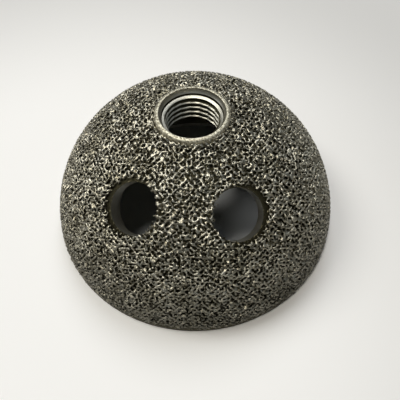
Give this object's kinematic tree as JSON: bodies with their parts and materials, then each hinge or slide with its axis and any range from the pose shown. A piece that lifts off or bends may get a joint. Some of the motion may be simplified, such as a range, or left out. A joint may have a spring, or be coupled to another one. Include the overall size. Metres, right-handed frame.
{
  "type": "acetabular cup",
  "caption": "Hemispherical porous-coated hip socket shell with a threaded apex hole in a smooth boss and bone-screw holes in the dome.",
  "frame": {"origin": "centre of the flat rim face the cup rests on, which is also the centre of the dome's spheres", "axes": "+Z through the apex hole, out of the dome; -Y between the two screw holes; +X to the right of them seen from outside"},
  "size_m": [0.052, 0.052, 0.0264],
  "materials": {
    "printed_titanium": "porous, as printed, with smooth turned boss, bore, rim and inside"
  },
  "bodies": {
    "root": {"acetabular_cup": "printed_titanium"}
  },
  "joints": []
}
